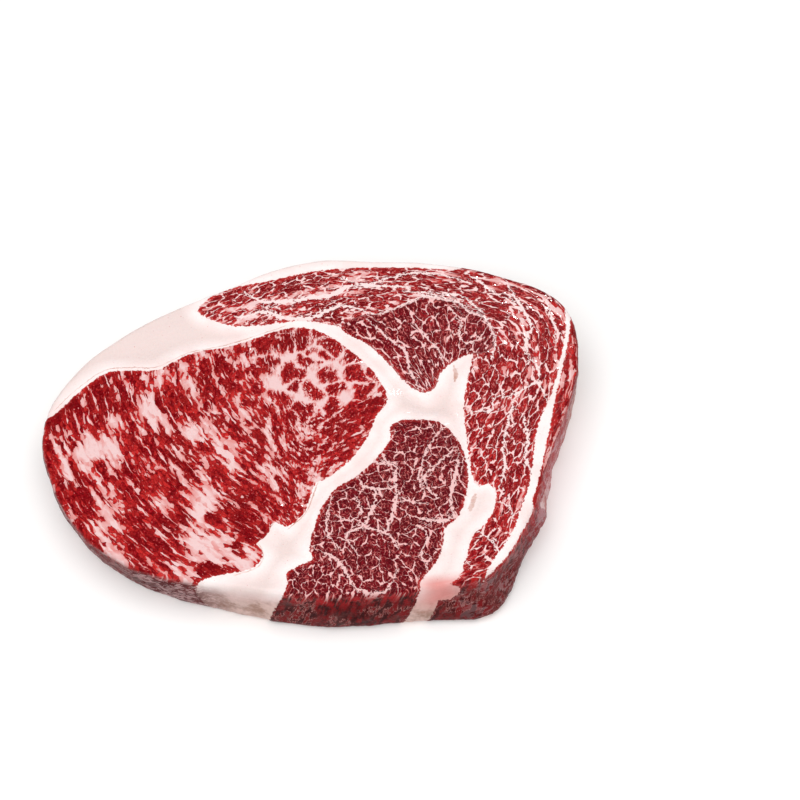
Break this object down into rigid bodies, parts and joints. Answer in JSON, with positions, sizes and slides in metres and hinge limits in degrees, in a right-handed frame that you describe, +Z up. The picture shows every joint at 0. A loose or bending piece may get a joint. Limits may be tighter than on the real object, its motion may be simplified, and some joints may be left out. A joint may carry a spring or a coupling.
{
  "type": "raw beef steak",
  "caption": "Raw boneless rib steak, a flat slice cut across the muscles, with a marbled cut face and seams of fat.",
  "frame": {"origin": "middle of the resting face, under the middle of the slice's bounding box", "axes": "+X along the slice's long side, +Z up out of the cut face that shows"},
  "size_m": [0.1816, 0.1396, 0.0229],
  "materials": {
    "marbled_beef": "moist raw meat with white fat, soft wet gloss"
  },
  "bodies": {
    "root": {"steak": "marbled_beef"}
  },
  "joints": []
}
